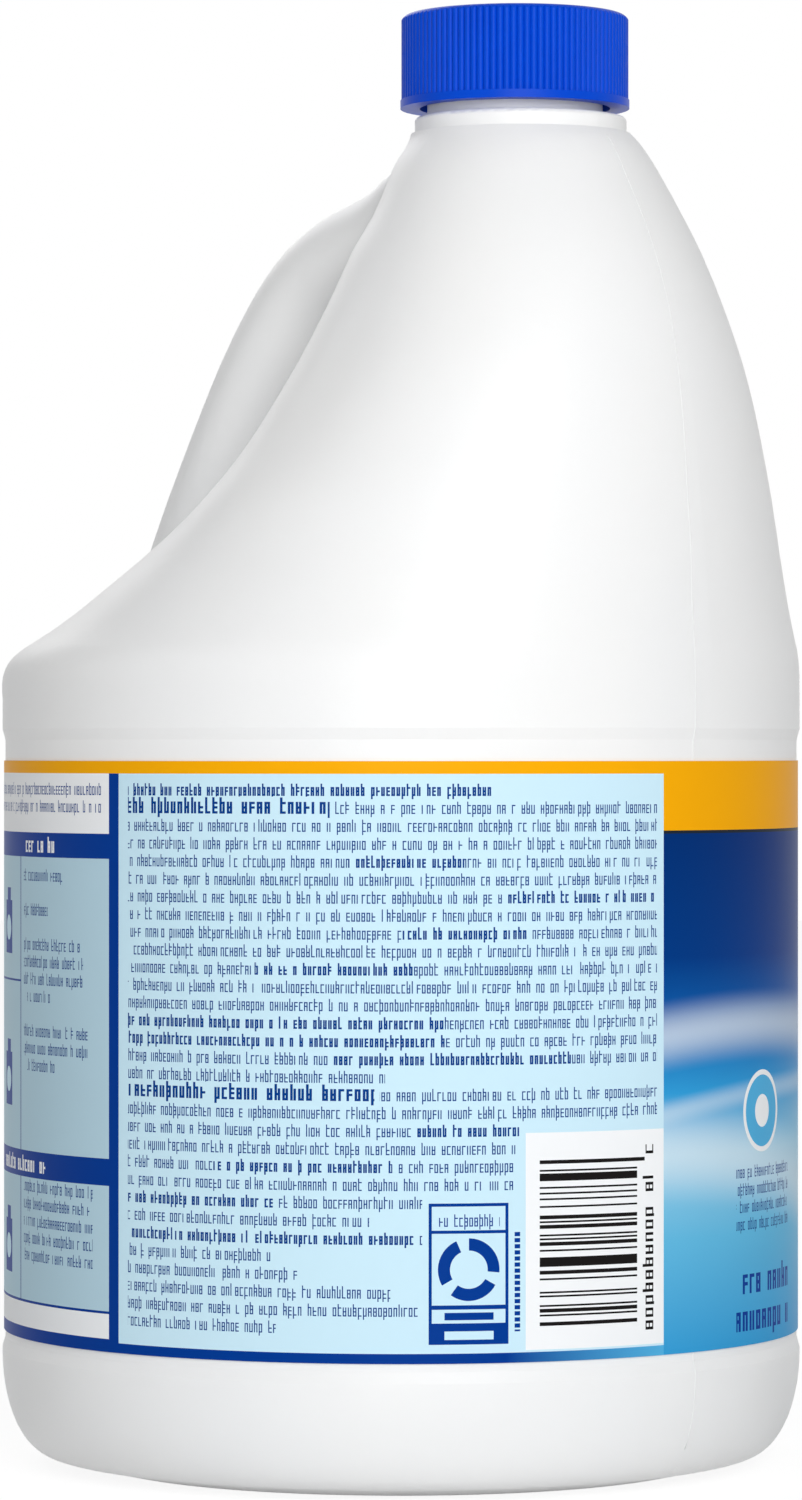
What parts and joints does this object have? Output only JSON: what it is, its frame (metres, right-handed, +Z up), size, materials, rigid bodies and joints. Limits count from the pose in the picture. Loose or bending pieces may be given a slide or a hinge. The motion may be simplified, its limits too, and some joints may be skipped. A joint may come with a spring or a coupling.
{
  "type": "bleach bottle",
  "caption": "Large round plastic bottle with a hollow side handle, an off-centre screw neck, a ribbed screw cap with a sealing liner, and a wrapped film label.",
  "frame": {"origin": "centre of the round base, on the plane it stands on", "axes": "+Z up, +X from the handle towards the neck's side, +Y across the parting plane"},
  "size_m": [0.1601, 0.16, 0.2877],
  "materials": {
    "white_plastic": "satin",
    "printed_film": "gloss",
    "liner_foam": "matte",
    "blue_plastic": "semi-gloss"
  },
  "bodies": {
    "container": {"bottle": "white_plastic", "label": "printed_film"},
    "liner_carrier": {"cap_liner": "liner_foam"},
    "closure": {"cap": "blue_plastic"}
  },
  "joints": [
    {"name": "cap_rise", "type": "slide", "parent": "container", "child": "liner_carrier", "axis": [0, 0, 1], "range_m": [0, 0.01058]},
    {"name": "cap_turn", "type": "hinge", "parent": "liner_carrier", "child": "closure", "pos_m": [0.0318, 0, 0.2785], "axis": [0, 0, 1], "range_deg": [0, 900]}
  ],
  "couplings": [
    {"joint": "cap_rise", "follows": "cap_turn", "m_per_rad": 0.00067323}
  ]
}
